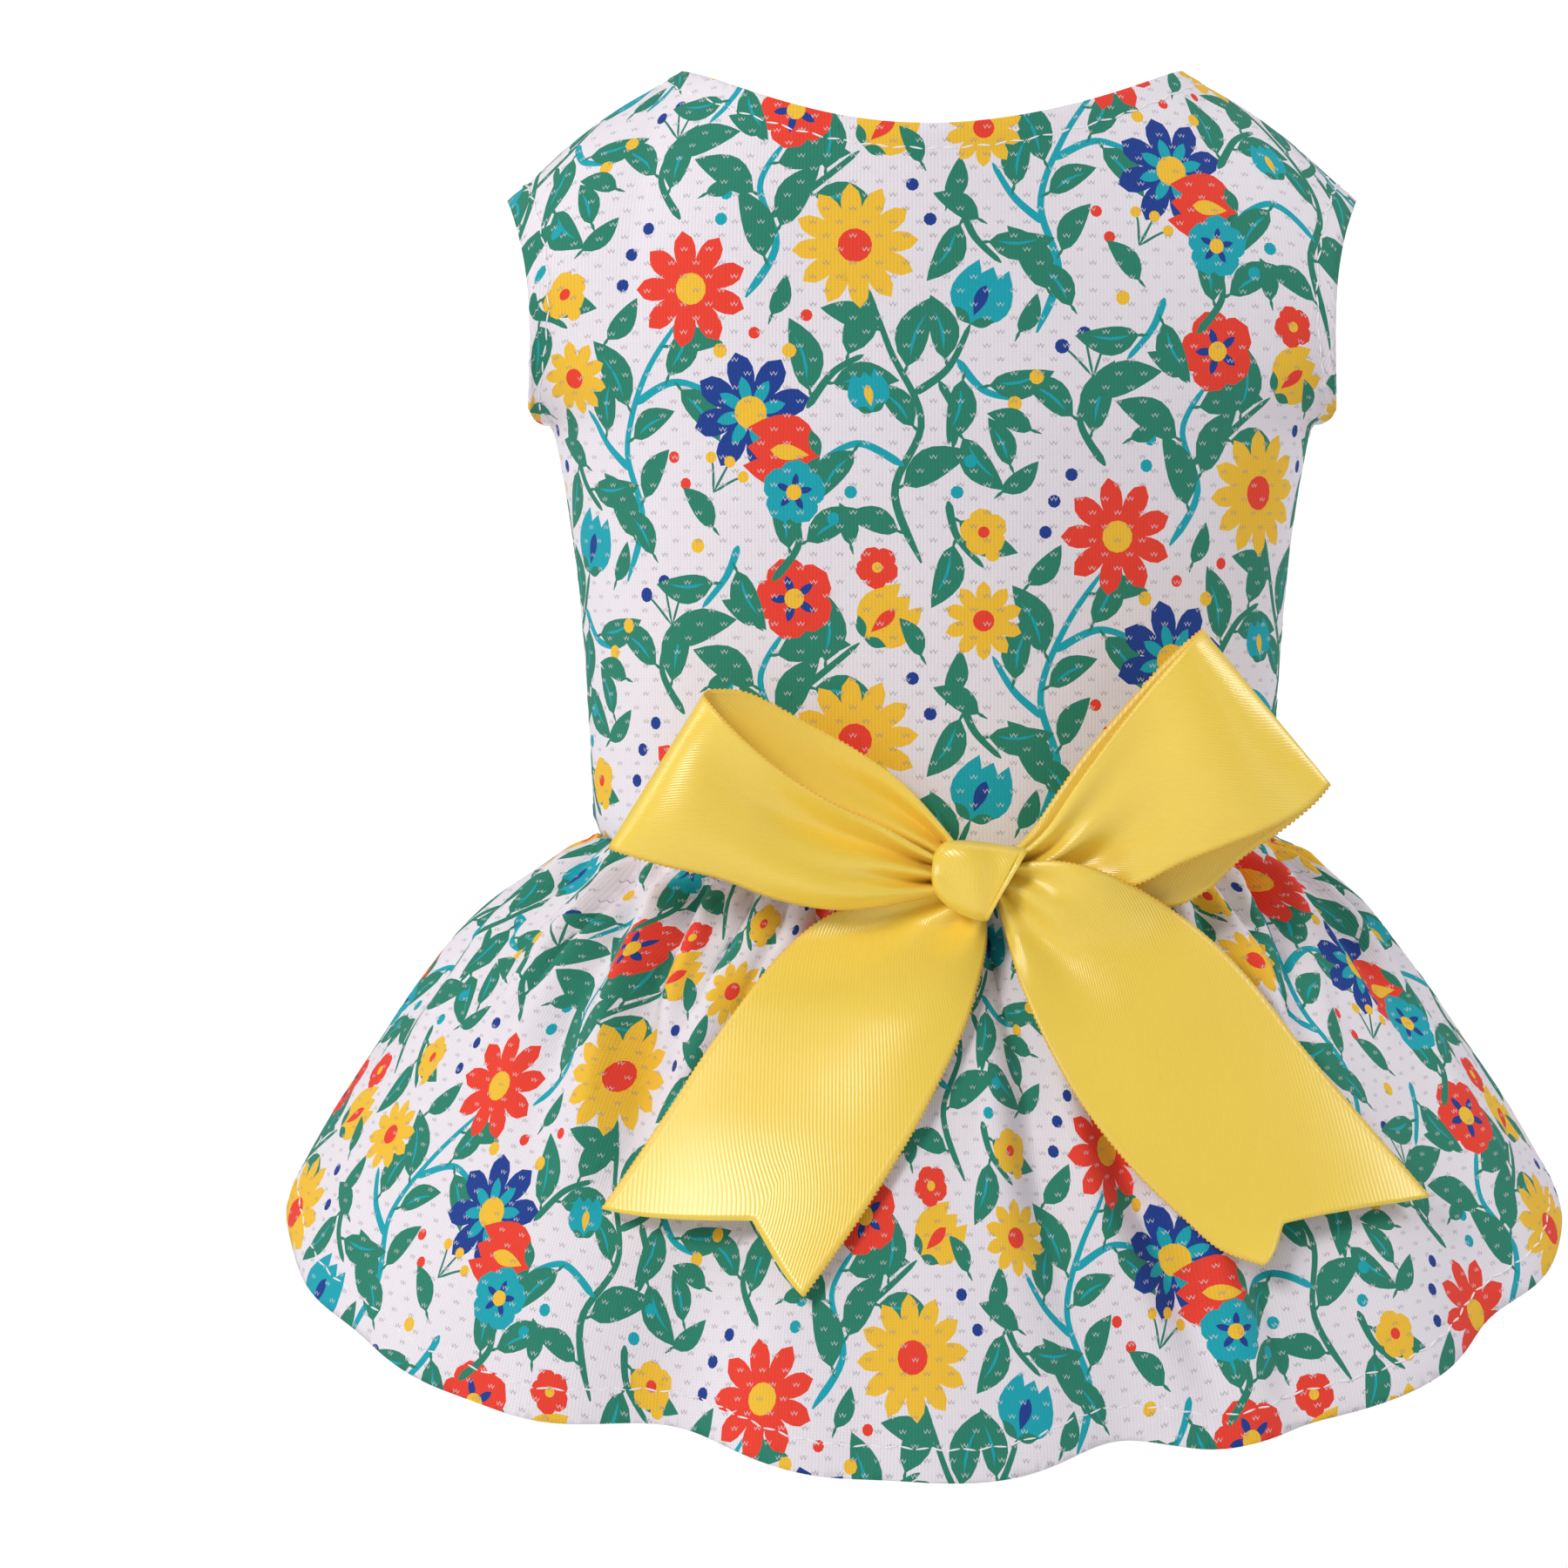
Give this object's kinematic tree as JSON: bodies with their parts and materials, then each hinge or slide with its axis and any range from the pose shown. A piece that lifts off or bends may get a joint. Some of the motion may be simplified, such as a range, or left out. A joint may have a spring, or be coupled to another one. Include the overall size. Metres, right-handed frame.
{
  "type": "dog dress",
  "caption": "Sleeveless dog dress with a round neck, two leg holes, a gathered flared skirt longer over the back, and a tied ribbon bow at the waist.",
  "frame": {"origin": "on the axis of the torso, level with the middle of the two leg holes, where the dress sits round the dog's chest", "axes": "+Z towards the neck, -Y out of the dog's back and the bow, +X to the right as the bow is looked at"},
  "size_m": [0.2485, 0.1594, 0.2736],
  "materials": {
    "printed_knit": "matt birdseye knit with a printed floral pattern",
    "yellow_satin": "satin ribbon"
  },
  "bodies": {
    "root": {"back_panel": "printed_knit", "belly_panel": "printed_knit", "skirt": "printed_knit", "bow_knot": "yellow_satin", "bow_loop_left": "yellow_satin", "bow_loop_right": "yellow_satin", "bow_tail_left": "yellow_satin", "bow_tail_right": "yellow_satin"}
  },
  "joints": []
}
